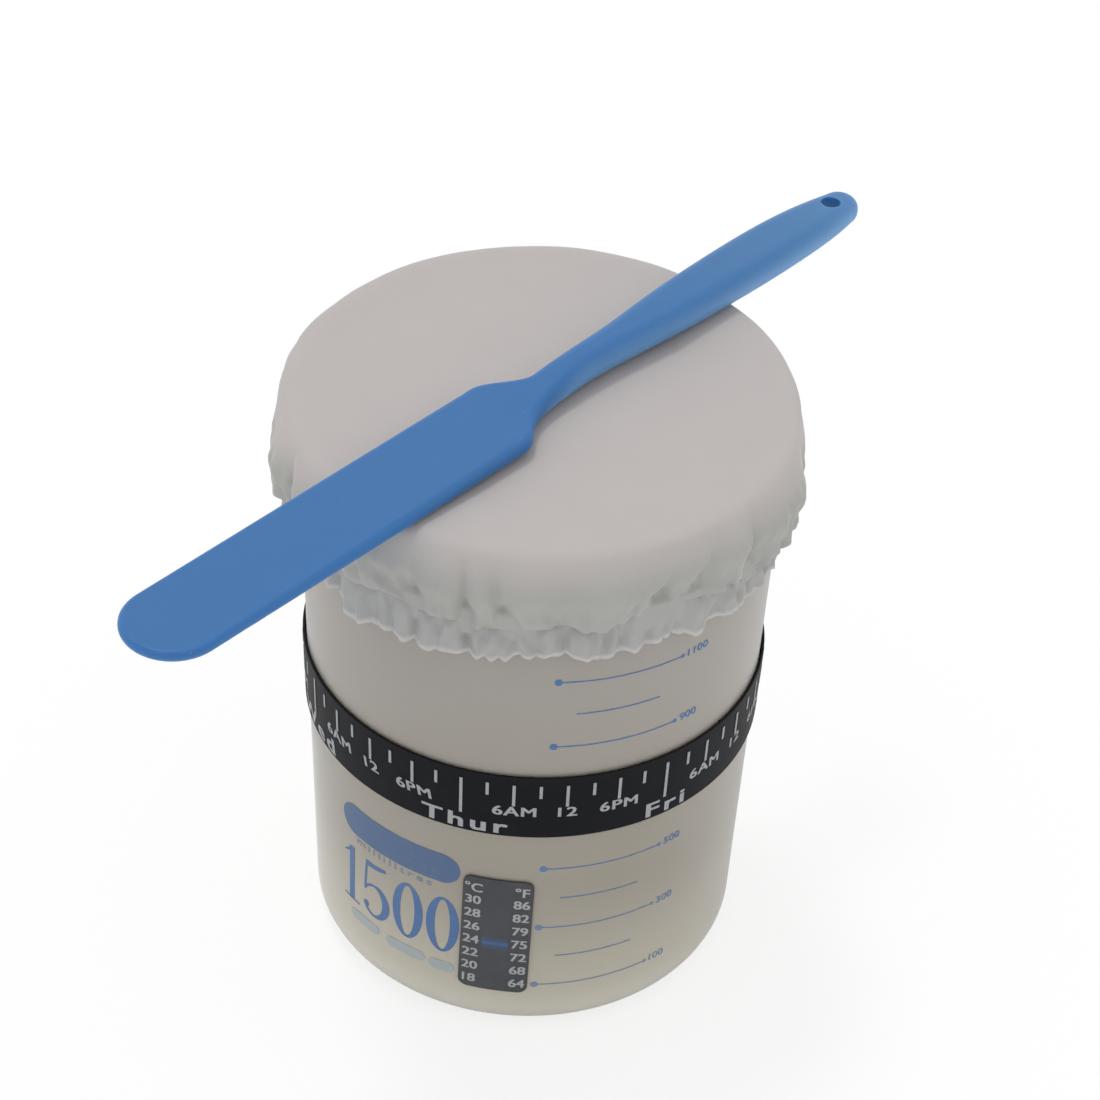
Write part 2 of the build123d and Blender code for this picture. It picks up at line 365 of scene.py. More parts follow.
def numeral_one(stem, foot, tall):
    """Stem with a slanted flag at its head and a thin slab under it."""
    flag = [[stem - 0.17 * tall, foot + 0.83 * tall], [stem + 0.02 * tall, foot + 0.965 * tall]]
    slab = foot + 0.012 * tall
    return [
        mark_line([stem, foot], [stem, foot + tall], 0.105 * tall),
        mark_stroke(flag, [0.015 * tall, 0.085 * tall]),
        mark_line([stem - 0.17 * tall, slab], [stem + 0.17 * tall, slab], 0.025 * tall),
    ]


def numeral_five(left, right, foot, tall):
    """Bowl drawn with a pen that is broad on its right side, a thin stem up from it and a flag on top."""
    wide = right - left
    centre = np.array([left + 0.46 * wide, foot + 0.30 * tall])
    turn = np.linspace(radians(152), radians(-148), 44)
    bowl = centre + np.stack([0.47 * wide * np.cos(turn), 0.285 * tall * np.sin(turn)], 1)
    pen = 0.040 * tall + 0.085 * tall * np.clip(np.cos(turn), 0, 1)
    stem = [bowl[0] + [0.004 * tall, -0.005 * tall], [left + 0.11 * wide, foot + 0.95 * tall]]
    reach = np.linspace(0, 1, 12)
    flag = np.stack([left + (0.09 + 0.82 * reach) * wide, foot + tall * (0.945 + 0.045 * reach**3)], 1)
    return [
        mark_stroke(bowl, pen),
        mark_dot(bowl[-1] + [0.022 * tall, 0.016 * tall], 0.052 * tall),
        mark_line(stem[0], stem[1], 0.036 * tall),
        mark_stroke(flag, 0.10 * tall - 0.045 * tall * reach),
    ]


def numeral_zero(left, right, foot, tall):
    """Tall ring, broad at its sides and thin at its top and foot."""
    half = (right - left) / 2
    centre = np.array([left + half, foot + 0.5 * tall])
    return [mark_ring(centre, (half, 0.51 * tall), (half - 0.125 * tall, 0.468 * tall))]


def printed_blue(colour):
    """Ink of one blue, worn towards the colour of the jar under it."""

    def paint(start):
        point = start.place()
        worn = start.noise(point, 700, 3)
        thin = start.noise(point, 90, 2)
        faded = tuple(0.6 * part + 0.4 * pale for part, pale in zip(colour, milky_middle_painted_shade))
        return start.surface(
            {
                "Base Color": (worn.step(0.52, 0.9) * 0.35 + thin * 0.2).pick(colour, faded),
                "Roughness": 0.4 + worn * 0.15,
            }
        )

    return paint


def flat_capsule(left, right, height, depth):
    """Flat bar with half round ends: two half circles joined by straight sides."""
    radius = depth / 2
    turn = np.linspace(-pi / 2, pi / 2, 20)
    arc = np.stack([np.cos(turn), np.sin(turn)], 1) * radius
    right_end = arc + [right - radius, height]
    left_end = -arc + [left + radius, height]
    points = np.concatenate([right_end, left_end])
    return points, [tuple(range(len(points)))]


def leaned(marks, foot, lean):
    """The marks sheared round the wall: each point moves by its height over the foot times the lean."""
    return [(points + (points[:, 1:] - foot) * [lean, 0], faces) for points, faces in marks]


banner_left, banner_right = (turn * wall_radius(banner_height) for turn in banner_angles)
banner = [flat_capsule(banner_left, banner_right, banner_height, banner_depth)]
wrap_marks("banner_print", banner, finish_of("banner ink", printed_blue(banner_blue)), "jar", print_lift)
numeral_radius = wall_radius(numeral_foot + numeral_height / 2)
volume_marks = numeral_one(numeral_one_stem * numeral_radius, numeral_foot, numeral_height)
for numeral, spans in ((numeral_five, (numeral_five_span,)), (numeral_zero, numeral_zero_spans)):
    for span in spans:
        volume_marks += numeral(*(turn * numeral_radius for turn in span), numeral_foot, numeral_height)
volume_marks = leaned(volume_marks, numeral_foot + numeral_height / 2, numeral_lean)
numeral_ink = finish_of("numeral ink", printed_blue(numeral_blue))
wrap_marks("volume_print", volume_marks, numeral_ink, "jar", print_lift)
unit_centre = (unit_angle * wall_radius(unit_middle_height), unit_middle_height)
unit = mark_words("millilitres", unit_centre, unit_height, stretch=1.5, weight=0.0001, spread=1.35)
wrap_marks("unit_print", [unit], finish_of("unit ink", printed_blue(unit_blue)), "jar", print_lift)
pale_marks = []
for first, last, height in pale_bars:
    ends = (radians(turn) * wall_radius(height) for turn in (first, last))
    pale_marks.append(flat_capsule(*ends, height, pale_bar_depth))
wrap_marks("pale_bar_print", pale_marks, finish_of("pale ink", printed_blue(pale_blue)), "jar", print_lift)

# Thermometer strip
# The real one is a dark printed film stuck on the wall, with liquid crystal patches in a column behind a
# clear stripe. One patch shows blue at the room's temperature. Its numbers are printed to either side.
strip_angle = radians(-6.2)
strip_middle_height = 0.0343
strip_lean = radians(-1.3)
strip_face_lift = 0.00055
header_up = 0.0164
first_row_up = 0.0120
row_pitch = 0.00477
number_height = 0.0028
column_offset = 0.0061
column_half_width = 0.0033
shown_up = -0.0028
celsius_numbers = ("°C", "30", "28", "26", "24", "22", "20", "18")
fahrenheit_numbers = ("°F", "86", "82", "79", "75", "72", "68", "64")
film_grey = (0.040, 0.043, 0.049, 1)
film_painted_shade = (0.012, 0.013, 0.016, 1)
film_dust = (0.3, 0.3, 0.32, 1)
column_grey = (0.043, 0.046, 0.057, 1)
shown_blue = (0.030, 0.110, 0.300, 1)
number_grey = (0.36, 0.37, 0.38, 1)
number_worn = (0.3, 0.31, 0.33, 1)
glue_white = (0.62, 0.62, 0.6, 1)
glue_pale = (0.7, 0.7, 0.68, 1)


def strip_coordinates(start):
    """The point, and its distance across the strip and height up it from the middle, in metres: the point's
    distance along the wall's tangent and its height, turned together by the strip's lean."""
    point = start.place()
    flat = point.part(0) * cos(strip_angle) + point.part(1) * sin(strip_angle)
    high = point.part(2) - strip_middle_height
    across = flat * cos(strip_lean) + high * sin(strip_lean)
    up = high * cos(strip_lean) - flat * sin(strip_lean)
    return point, across, up


def strip_film(start):
    """Dark film with a clear stripe down its middle, where one patch shows blue and tints what is by it,
    painted darker towards its top as shade.
    """
    point, across, up = strip_coordinates(start)
    off_middle = start.maths("ABSOLUTE", across)
    column = 1 - off_middle.step(column_half_width - 0.0001, column_half_width + 0.0001)
    from_shown = start.maths("ABSOLUTE", up - shown_up)
    shown = (1 - from_shown.step(0.0003, 0.0009)) * 0.8
    spread = 1 - from_shown.step(0.0004, 0.0030)
    smudge = start.noise(point, 160, 3)
    base = column.pick(film_grey, column_grey)
    # Painted shade: the film darkens towards its top.
    shaded = (up.step(0.002, 0.018) * 0.3).pick(base, film_painted_shade)
    tinted = (column * spread * 0.25).pick(shaded, shown_blue)
    lit = (column * shown).pick(tinted, shown_blue)
    dusty = (smudge.step(0.5, 0.85) * 0.06).pick(lit, film_dust)
    relief = start.bump(start.noise(point, 3000, 2), 0.000012, 0.5)
    return start.surface({"Base Color": dusty, "Roughness": 0.26 + smudge * 0.18, "Normal": relief})


def plain_film(start):
    """Clear glue film, a little uneven."""
    speck = start.noise(start.place(), 900, 2)
    return start.surface({"Base Color": speck.pick(glue_white, glue_pale), "Roughness": 0.4})


def crystal_patch(start):
    """Liquid crystal that has half turned from grey to blue, in specks."""
    speck = start.noise(start.place(), 1200, 2)
    colour = speck.pick(column_grey, shown_blue)
    return start.surface({"Base Color": colour, "Roughness": 0.3 + speck * 0.1})


def number_ink(start):
    """Pale grey ink with worn specks."""
    worn = start.noise(start.place(), 2400, 2)
    colour = (worn * 0.4).pick(number_grey, number_worn)
    return start.surface({"Base Color": colour, "Roughness": 0.45})


dress("thermometer_face", finish_of("thermometer film", strip_film))
dress("thermometer_adhesive", finish_of("adhesive film", plain_film))
dress("thermometer_crystal_cells", finish_of("crystal patches", crystal_patch))
number_marks = []
for side, numbers in ((-1, celsius_numbers), (1, fahrenheit_numbers)):
    for row, number in enumerate(numbers):
        up = header_up if row == 0 else first_row_up - (row - 1) * row_pitch
        across = side * column_offset
        place = (
            across * cos(strip_lean) - up * sin(strip_lean),
            strip_middle_height + across * sin(strip_lean) + up * cos(strip_lean),
        )
        tall = number_height * (1.1 if row == 0 else 1)
        number_marks.append(mark_words(number, place, tall, stretch=1.05, weight=0.00022, lean=strip_lean))
numbers_ink = finish_of("thermometer numbers", number_ink)
wrap_marks("thermometer_numbers", number_marks, numbers_ink, "jar", strip_face_lift + print_lift, strip_angle)

# Week band
# The real one is a black silicone ring stretched round the wall, matt and a little dusty, with seven days
# of eight ticks each printed in pale grey. It slides and turns to mark the starter's level.
band_bottom_height = 0.0705
band_width = 0.0201
band_face_lift = 0.0010
first_day_angle = radians(-15.7)
day_names = ("Thur", "Fri", "Sat", "Sun", "Mon", "Tue", "Wed")
hour_names = ("6AM", "12", "6PM")
day_height = 0.0044
hour_height = 0.0030
day_place = 0.0737
day_shift = radians(0.7)
hour_place = 0.0793
hour_shift = radians(0.2)
band_black = (0.0050, 0.0055, 0.0075, 1)
band_dust = (0.022, 0.024, 0.029, 1)
print_grey = (0.33, 0.34, 0.36, 1)


def black_silicone(start):
    """Matt black rubber with dust in clouds and lint in specks, and paler along its two edges."""
    point = start.place()
    dust = start.noise(point, 120, 4)
    lint = start.noise(point, 1600, 2, (1, 1, 0.5))
    off_middle = start.maths("ABSOLUTE", point.part(2) - (band_bottom_height + band_width / 2))
    edge = off_middle.step(0.0092, 0.0101)
    dusty = dust.step(0.45, 0.9) * 0.2 + lint.step(0.70, 0.8) * 0.3 + edge * 0.2
    return start.surface(
        {
            "Base Color": dusty.pick(band_black, band_dust),
            "Roughness": 0.46 + dust * 0.16,
            "Specular IOR Level": 0.10,
            "Normal": start.bump(lint * 0.5 + dust * 0.5, 0.00004, 0.5),
        }
    )


def band_print(start):
    """Pale grey ink that lets the band show where it is worn."""
    worn = start.noise(start.place(), 1400, 3)
    colour = (worn.step(0.5, 0.85) * 0.5).pick(print_grey, band_dust)
    return start.surface({"Base Color": colour, "Roughness": 0.5})


band_ink = finish_of("band print", band_print)
dress("week_band", finish_of("black silicone", black_silicone))
dress("week_band_ticks", band_ink)
word_marks = []
for day, day_name in enumerate(day_names):
    day_angle = first_day_angle + day * 2 * pi / len(day_names)
    centre = ((day_angle + day_shift) * wall_radius(day_place), day_place)
    word_marks.append(mark_words(day_name, centre, day_height, stretch=1.42, weight=0.0005, spread=1.25))
    for number, hour_name in enumerate(hour_names):
        hour_angle = day_angle + (number + 1) * 2 * pi / len(day_names) / 4
        centre = ((hour_angle + hour_shift) * wall_radius(hour_place), hour_place)
        hour = mark_words(hour_name, centre, hour_height, stretch=1.25, weight=0.00028, spread=1.1)
        word_marks.append(hour)
wrap_marks("week_band_words", word_marks, band_ink, "week_band_scale", band_face_lift + print_lift)

# Cloth cover
# The real one is a disc of thin white cotton with a rolled hem, drawn in below the rim by elastic in a sewn
# casing. It lies flat over the mouth, puffs out over the rim and ends in a short uneven ruffle.
cover_top = 0.1623
cloth_thickness = 0.0004
hem_thickness = 0.0009
cut_diameter = 0.193
rim_radius = wall_radius(jar_height) + rim_bead_width
ring_count = 900
gather_count = 56
gather_seed = 11
casing_low, casing_high = 0.1360, 0.1440
casing_clearance = 0.0022
wall_clearance = 0.0007
# The next rows give degrees round the jar and, in metres: the elastic's height, how far the hem hangs below
# it, how far the side bulges past the rim and at what height, how far the hem stands off the wall, how far
# the side hangs over the elastic, and how far the top's edge stands out.
elastic_heights = (
    (-90, 0.1388), (-46, 0.1414), (-15, 0.1395), (10, 0.1410), (30, 0.1422),
    (58, 0.1392), (110, 0.1380), (180, 0.1388), (230, 0.1380),
)
hem_drops = (
    (-62, 0.0096), (-36, 0.0122), (-24, 0.0106), (-10, 0.0087), (5, 0.0084), (25, 0.0104),
    (45, 0.0098), (75, 0.0086), (130, 0.0084), (200, 0.0092), (250, 0.0084),
)
bulge_widths = (
    (-90, 0.0035), (-30, 0.0036), (20, 0.0028), (70, 0.0032), (88, 0.0022),
    (104, 0.0002), (125, -0.0005), (165, 0.0022), (215, 0.0038),
)
bulge_heights = ((-90, 0.1505), (0, 0.1500), (90, 0.1508), (180, 0.1498))
hem_flares = ((-90, 0.0034), (0, 0.0034), (45, 0.0026), (85, 0.0010), (140, 0.0022), (210, 0.0032))
overhangs = (
    (-80, 0.0012), (-40, 0.0014), (-5, 0.0010), (25, 0.0006), (60, 0.0004), (130, 0.0010), (200, 0.0012),
)
shoulders = (
    (-150, 0.0024), (-118, 0.0021), (-99, 0.0016), (-82, 0.0003), (0, 0.0),
    (90, 0.0), (128, 0.0006), (158, 0.0021), (180, 0.0030),
)
crease_count = 110
long_fold_count = 34
crumple_count = 16
crumple_depth = 0.00009
wave_depth = 0.00025
fold_gap = 0.0006
cloth_white = (0.585, 0.546, 0.534, 1)
# The side and ruffle colours are the top's white with painted shade; the ruffle's also holds the wall's grey
# through the cloth.
cloth_side_painted_shade = (0.462, 0.466, 0.441, 1)
cloth_ruffle_painted_shade = (0.470, 0.474, 0.466, 1)
cloth_hem_white = (0.640, 0.630, 0.615, 1)
cloth_pale = (0.66, 0.635, 0.625, 1)
cloth_stitch = (0.40, 0.39, 0.38, 1)
cloth_glow = (0.62, 0.59, 0.57, 1)
cloth_glow_share = 0.22
thread_pitch = 0.00062
# Levels count the control rows, from 0 at the middle of the top to 15 at the hem.
side_level, elastic_level, stitch_level, hem_level = 8, 12, 14.5, 14.7


def round_the_jar(turn, rows):
    """Value at each angle, from rows of degrees and value: straight steps between rows, eased by a cosine."""
    places, values = np.array(rows, float).T
    places = np.concatenate([places - 360, places, places + 360])
    values = np.tile(values, 3)
    spot = (np.degrees(turn) + 180) % 360 - 180
    after = np.searchsorted(places, spot, side="right")
    share = (spot - places[after - 1]) / (places[after] - places[after - 1])
    return values[after - 1] + (values[after] - values[after - 1]) * (1 - np.cos(pi * share)) / 2


def wander(turn, rates, dice):
    """Smooth random waves round the jar: cosines at whole rates with random starts, about 1 high in all."""
    starts = dice.uniform(0, 2 * pi, len(rates))
    return sum(np.cos(rate * turn + begin) for rate, begin in zip(rates, starts)) / len(rates) ** 0.5


def half_turn_about(angle):
    """The same angle, counted from half a turn back to half a turn on."""
    return (angle + pi) % (2 * pi) - pi


def uneven_edges(count, least, most, dice):
    """Angles that part the circle into count gaps, each a random width between least and most shares."""
    widths = dice.uniform(least, most, count)
    return np.concatenate([[0], np.cumsum(widths)]) / widths.sum() * 2 * pi - pi


def humps(turn, edges, power=0.9):
    """Rounded humps round the jar: in each gap between two edges, a half sine to a power, higher where the
    gap is wide. They are 0 at the edges, and their mean is taken off so that they lie about the surface."""
    place = half_turn_about(turn)
    after = np.clip(np.searchsorted(edges, place, side="right"), 1, len(edges) - 1)
    width = edges[after] - edges[after - 1]
    sine = np.clip(np.sin(pi * (place - edges[after - 1]) / width), 0, 1)
    hump = sine**power * np.sqrt(width * (len(edges) - 1) / (2 * pi))
    return hump - hump.mean()


def smooth_between(rows, levels):
    """Cubic B-spline through control rows: each level's row is the blend of the four rows about it, and the
    end rows are repeated so that the surface starts and ends on them."""
    padded = np.concatenate([[2 * rows[0] - rows[1]], rows, [2 * rows[-1] - rows[-2]]])
    first = np.clip(levels.astype(int), 0, len(rows) - 2)
    t = (levels - first)[:, None]
    weights = ((1 - t) ** 3, 3 * t**3 - 6 * t**2 + 4, -3 * t**3 + 3 * t**2 + 3 * t + 1, t**3)
    return sum(weight * padded[first + number] for number, weight in enumerate(weights)) / 6


def cover_surface():
    """Points of the cover on a grid of levels and angles. Sixteen control rows run from the middle of the
    top, over the rim, down the bulging side, in at the elastic and out to the hem. Each row has a radius, a
    height, and how deep the wide puffs, the gathers and the fine frills go there. Creases, long folds and a
    crumple are added, and last the cloth is kept clear of what it lies over."""
    dice = np.random.default_rng(gather_seed)
    turn = np.linspace(-pi, pi, ring_count, endpoint=False)
    gather_edges = uneven_edges(gather_count, 0.4, 2.0, dice)
    chosen = np.cumsum(dice.integers(2, 5, gather_count))
    chosen = chosen[chosen < gather_count - 1]
    puff_edges = gather_edges[np.concatenate([[0], chosen, [gather_count]])]
    frills = wander(turn, (74, 91, 107, 126), dice) * (0.6 + 0.4 * wander(turn, (5, 11, 17), dice))

    elastic = round_the_jar(turn, elastic_heights) + 0.0007 * wander(turn, (11, 18, 27), dice)
    drop = round_the_jar(turn, hem_drops) + 0.0005 * wander(turn, (13, 22, 31, 47), dice)
    bulge = round_the_jar(turn, bulge_widths) + 0.0005 * wander(turn, (5, 8, 13), dice)
    bulge_height = round_the_jar(turn, bulge_heights) + 0.0008 * wander(turn, (4, 7, 11), dice)
    overhang = round_the_jar(turn, overhangs) * (1 + 0.9 * humps(turn, puff_edges))
    shoulder = round_the_jar(turn, shoulders) + 0.0003 * wander(turn, (3, 5, 8), dice)
    flare = round_the_jar(turn, hem_flares)
    fullness = np.clip(bulge / 0.003, 0.3, 1.3)
    wall = wall_radius(elastic)
    lean = 0.018 * wander(turn, (3, 7, 12), dice)
    halfway = 0.5 * (bulge_height + elastic) + 0.0006
    side_foot = wall + 0.0025 + 0.0009 * fullness + 0.3 * bulge
    # Each row: radius, height, and the depths of the puffs, the gathers and the frills.
    controls = (
        (0, cover_top - 0.0007, 0, 0, 0),
        (0.0220, cover_top - 0.0007, 0, 0, 0),
        (0.0440, cover_top - 0.0004, 0, 0, 0),
        (0.0560, cover_top - 0.0001, 0, 0, 0),
        (rim_radius - 0.0014 + 0.6 * shoulder, cover_top + 0.35 * shoulder, 0, 0, 0),
        (rim_radius + 0.0007 + shoulder, cover_top - 0.0009 + 0.2 * shoulder, 0.0001, 0, 0),
        (rim_radius + 0.0009 + shoulder + 0.35 * bulge, cover_top - 0.0042, 0.0006 * fullness, 0, 0),
        (rim_radius + 0.0004 + 0.85 * bulge, cover_top - 0.0085, 0.0018 * fullness, 0.0001, 0),
        (rim_radius + 0.0002 + 1.12 * bulge, bulge_height, 0.0024 * fullness, 0.0004, 0),
        (rim_radius - 0.0012 + 0.85 * bulge, halfway, 0.0034 * fullness, 0.0010, 0),
        (side_foot, elastic + 0.0024 - overhang, 0.0038 * fullness, 0.0014, 0.0002),
        (wall + 0.0024, elastic + 0.0002 - 0.6 * overhang, 0.0018 * fullness, 0.0013, 0.0004),
        (wall + 0.0018, elastic + 0.0003, 0.0004, 0.0010, 0.0006),
        (wall + 0.5 * flare + 0.0010, elastic - 0.20 * drop, 0.0008, 0.0018, 0.0003),
        (wall + 0.9 * flare, elastic - 0.60 * drop, 0.0009, 0.0019, 0.0001),
        (wall + flare, elastic - drop, 0.0008, 0.0013, 0.0002),
    )
    radii, heights = [], []
    for number, (radius, height, puff_depth, gather_depth, frill_depth) in enumerate(controls):
        turned = turn + lean * (elastic_level - number)
        swell = puff_depth * humps(turned, puff_edges) + gather_depth * humps(turned, gather_edges, 0.8)
        radii.append(radius + swell + frill_depth * frills)
        heights.append(height + 0 * turn)
    heights[-1] = heights[-1] - 0.00016 * frills - 0.0004 * humps(turn, gather_edges, 1.2)
    spans = ((0.4, 3.2, 5), (3.6, 8.8, 15), (9.05, 12.6, 19), (12.85, 15, 12))
    levels = np.concatenate([np.linspace(*span) for span in spans])
    radius, height = (smooth_between(np.array(rows), levels) for rows in (radii, heights))
    level, angle = np.meshgrid(levels, turn, indexing="ij")

    for _ in range(crease_count):
        middle = dice.choice(gather_edges) + dice.uniform(-0.01, 0.01)
        slant, reach = dice.uniform(-0.045, 0.045), dice.uniform(1.0, 4.2)
        width, depth = dice.uniform(0.010, 0.022), dice.choice((-0.5, 0.8)) * dice.uniform(0.0004, 0.0013)
        away = half_turn_about(angle - middle - slant * (elastic_level - level))
        fade = np.clip(1 - np.abs(elastic_level - level) / reach, 0, 1)
        radius += depth * np.exp(-np.abs(away) / width) * fade * np.clip((15.2 - level) / 1.6, 0.15, 1)
    on_side = np.sin(pi * np.clip((level - 6.5) / 5.5, 0, 1)) ** 2
    for _ in range(long_fold_count):
        middle, slant = dice.uniform(-pi, pi), dice.uniform(-0.09, 0.09)
        width, depth = dice.uniform(0.018, 0.040), dice.choice((-1, 1)) * dice.uniform(0.0003, 0.0009)
        away = half_turn_about(angle - middle - slant * (11 - level))
        radius += depth * np.exp(-((away / width) ** 2)) * on_side
    crumpled = np.clip((level - 6) / 4, 0, 1)
    for _ in range(crumple_count):
        around, down = dice.integers(24, 120), dice.uniform(-3.5, 3.5)
        radius += crumple_depth * crumpled * np.cos(around * angle + down * level + dice.uniform(0, 2 * pi))
    lying = np.clip(level / 2, 0, 1) * np.clip((3.6 - level) / 1.2, 0, 1)
    height -= wave_depth * lying * (1 + wander(angle + 0.5 * level, (2, 3, 5, 7), dice))

    # The cloth keeps clear of the casing, the rim and the wall, and of its own fold above the elastic.
    past_casing = np.maximum(casing_low - height, height - casing_high)
    clear = np.interp(past_casing, [0, 0.0012], [casing_clearance, wall_clearance])
    clear += fold_gap * np.clip(elastic_level - level, 0, 1)
    over_rim = (level > 5) & (height > jar_height - rim_bead_height - 0.0005)
    radius = np.where(over_rim, np.maximum(radius, rim_radius + cloth_thickness + 0.0001), radius)
    radius = np.where(level > side_level, np.maximum(radius, wall_radius(height) + clear), radius)
    return level, angle, radius, height


def sheet_object(name, level, angle, radius, height):
    """Mesh of the grid, closed round the jar, with a fan over the middle. Its UV map is the flat disc that
    the cloth was cut from: each level lies as far from the middle as it is along the sheet, on average. The
    group 'hem' holds the rolled edge, and the attribute 'level' is the grid's level."""
    rows, columns = level.shape
    index = np.arange(rows * columns).reshape(rows, columns)
    here, right = index[:-1], np.roll(index[:-1], -1, axis=1)
    below, corner = index[1:], np.roll(index[1:], -1, axis=1)
    quads = np.stack([here, below, corner, right], 2).reshape(-1, 4)
    middle = rows * columns
    fan = np.stack([np.full(columns, middle), index[0], np.roll(index[0], -1)], 1)
    points = np.stack([radius * np.sin(angle), -radius * np.cos(angle), height], 2)
    points = np.concatenate([points.reshape(-1, 3), [points[0].mean(0)]])
    mesh = bpy.data.meshes.new(name)
    mesh.from_pydata(points.tolist(), [], quads.tolist() + fan.tolist())
    along = np.hypot(np.diff(radius, axis=0), np.diff(height, axis=0)).mean(1)
    spread = np.cumsum(np.concatenate([[radius[0].mean()], along]))
    spread *= cut_diameter / 2 / spread[-1]
    flat = np.stack([spread[:, None] * np.sin(angle), -spread[:, None] * np.cos(angle)], 2).reshape(-1, 2)
    flat = np.concatenate([flat, [[0, 0]]])
    corners = np.empty(len(mesh.loops), int)
    mesh.loops.foreach_get("vertex_index", corners)
    mesh.uv_layers.new(name="flat").data.foreach_set("uv", flat[corners].ravel())
    mesh.attributes.new("level", "FLOAT", "POINT").data.foreach_set("value", np.append(level.ravel(), 0))
    mesh.shade_smooth()
    piece = bpy.data.objects.new(name, mesh)
    bpy.context.scene.collection.objects.link(piece)
    piece.vertex_groups.new(name="hem").add(index[level >= hem_level].tolist(), 1.0, "REPLACE")
    return piece


def thin_cotton(start):
    """Thin plain weave: sine waves along both threads and uneven slubs, on the flat disc's map. The colour
    goes by level from the top to the side and the ruffle, both painted darker as shade, the ruffle also
    greyed by the wall through the thin cloth, and to the rolled hem, with stitches above the hem."""
    flat = start.node("ShaderNodeUVMap", {"uv_map": "flat"})
    level = start.node("ShaderNodeAttribute", {"attribute_name": "level"}, output="Fac")
    warp, weft = (start.maths("SINE", flat.part(axis) * (2 * pi / thread_pitch)) for axis in (0, 1))
    slub = start.noise(flat, 420, 3, (1, 5, 1)) + start.noise(flat, 420, 3, (5, 1, 1))
    crumple = start.noise(flat, 70, 4)
    fine = start.noise(flat, 240, 3)
    weave = warp * weft * 0.25 + slub * 0.25
    hem = level.step(14.60, 14.85)
    stitched = start.maths("ABSOLUTE", level - stitch_level).step(0.0, 0.06)
    # Painted shade: the side is darker and cooler than the top, and the ruffle darker again, partly the
    # wall's grey through the thin cloth.
    shaded_side = level.step(5.4, 7.8).pick(cloth_white, cloth_side_painted_shade)
    shaded_ruffle = level.step(10.5, 13.0).pick(shaded_side, cloth_ruffle_painted_shade)
    tone = (crumple.step(0.3, 0.7) * 0.12 + slub * 0.08).pick(shaded_ruffle, cloth_pale)
    colour = hem.pick(((1 - stitched) * 0.2).pick(tone, cloth_stitch), cloth_hem_white)
    relief = start.bump(weave, 0.00006, 0.35)
    creased = start.node(
        "ShaderNodeBump",
        inputs={"Height": crumple + fine * 0.5, "Distance": 0.0007, "Strength": 0.15, "Normal": relief},
    )
    cloth = start.surface(
        {
            "Base Color": colour,
            "Roughness": 0.88 + slub * 0.05,
            "Sheen Weight": 0.45,
            "Sheen Roughness": 0.3,
            "Normal": creased,
        }
    )
    glow = start.node("ShaderNodeBsdfTranslucent", inputs={"Color": cloth_glow})
    return start.node("ShaderNodeMixShader", inputs={0: cloth_glow_share, 1: cloth, 2: glow})


cover = sheet_object("cover", *cover_surface())
cover.data.materials.append(finish_of("thin white cotton", thin_cotton))
cloth_wall = cover.modifiers.new("thickness", "SOLIDIFY")
cloth_wall.thickness = hem_thickness
cloth_wall.offset = -1
cloth_wall.vertex_group = "hem"
cloth_wall.thickness_vertex_group = cloth_thickness / hem_thickness
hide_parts("cover_cloth")
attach(cover, "cover")

# Casing tape, elastic and thread
# The real tape is a narrow cotton band sewn inside the cover with two rows of thread, and the elastic is
# knitted over rubber and runs in it. They show only from below, between the cloth and the wall.
tape_white = (0.60, 0.58, 0.56, 1)
tape_lint = (0.5, 0.48, 0.46, 1)
tape_rib_pitch = 0.0006
elastic_white = (0.68, 0.67, 0.65, 1)
elastic_shade = (0.5, 0.49, 0.47, 1)
elastic_rib_pitch = 0.0011
thread_white = (0.72, 0.7, 0.68, 1)


def woven_tape(start):
    """Ribbed cotton tape: a sine wave up it gives the ribs, and noise the lint."""
    point = start.place()
    rib = start.maths("SINE", point.part(2) * (2 * pi / tape_rib_pitch))
    lint = start.noise(point, 1500, 2)
    relief = start.bump(rib * 0.5 + lint * 0.5, 0.00005, 0.5)
    colour = lint.pick(tape_white, tape_lint)
    return start.surface({"Base Color": colour, "Roughness": 0.85, "Normal": relief})


def knitted_elastic(start):
    """Knitted elastic: a sine wave up it gives the courses of the knit."""
    point = start.place()
    rib = start.maths("SINE", point.part(2) * (2 * pi / elastic_rib_pitch))
    knit = start.noise(point, 2600, 2)
    relief = start.bump(rib * 0.6 + knit * 0.4, 0.0001, 0.6)
    colour = (rib * 0.25 + knit * 0.3).pick(elastic_white, elastic_shade)
    return start.surface({"Base Color": colour, "Roughness": 0.7, "Normal": relief})


def spun_thread(start):
    """Spun sewing thread, mottled by its twist."""
    twist = start.noise(start.place(), 4000, 2)
    return start.surface({"Base Color": twist.pick(tape_white, thread_white), "Roughness": 0.8})


dress("cover_casing_tape", finish_of("cotton tape", woven_tape))
dress("cover_elastic", finish_of("knitted elastic", knitted_elastic))
dress("cover_hem_thread", finish_of("sewing thread", spun_thread))

# Spatula
# The real one is moulded in one piece of blue silicone over a stiff core, with a satin skin that carries
# fine dust. It lies across the cover, blade to the front left and handle to the back right.
spatula_heading = radians(48.9)
blade_top_height = 0.1648
handle_top_rise = 0.0060
silicone_blue = (0.029, 0.152, 0.388, 1)
silicone_pale = (0.076, 0.208, 0.405, 1)
silicone_painted_light = (0.150, 0.330, 0.600, 1)
silicone_dust = (0.3, 0.42, 0.6, 1)
steel_grey = (0.55, 0.55, 0.55, 1)


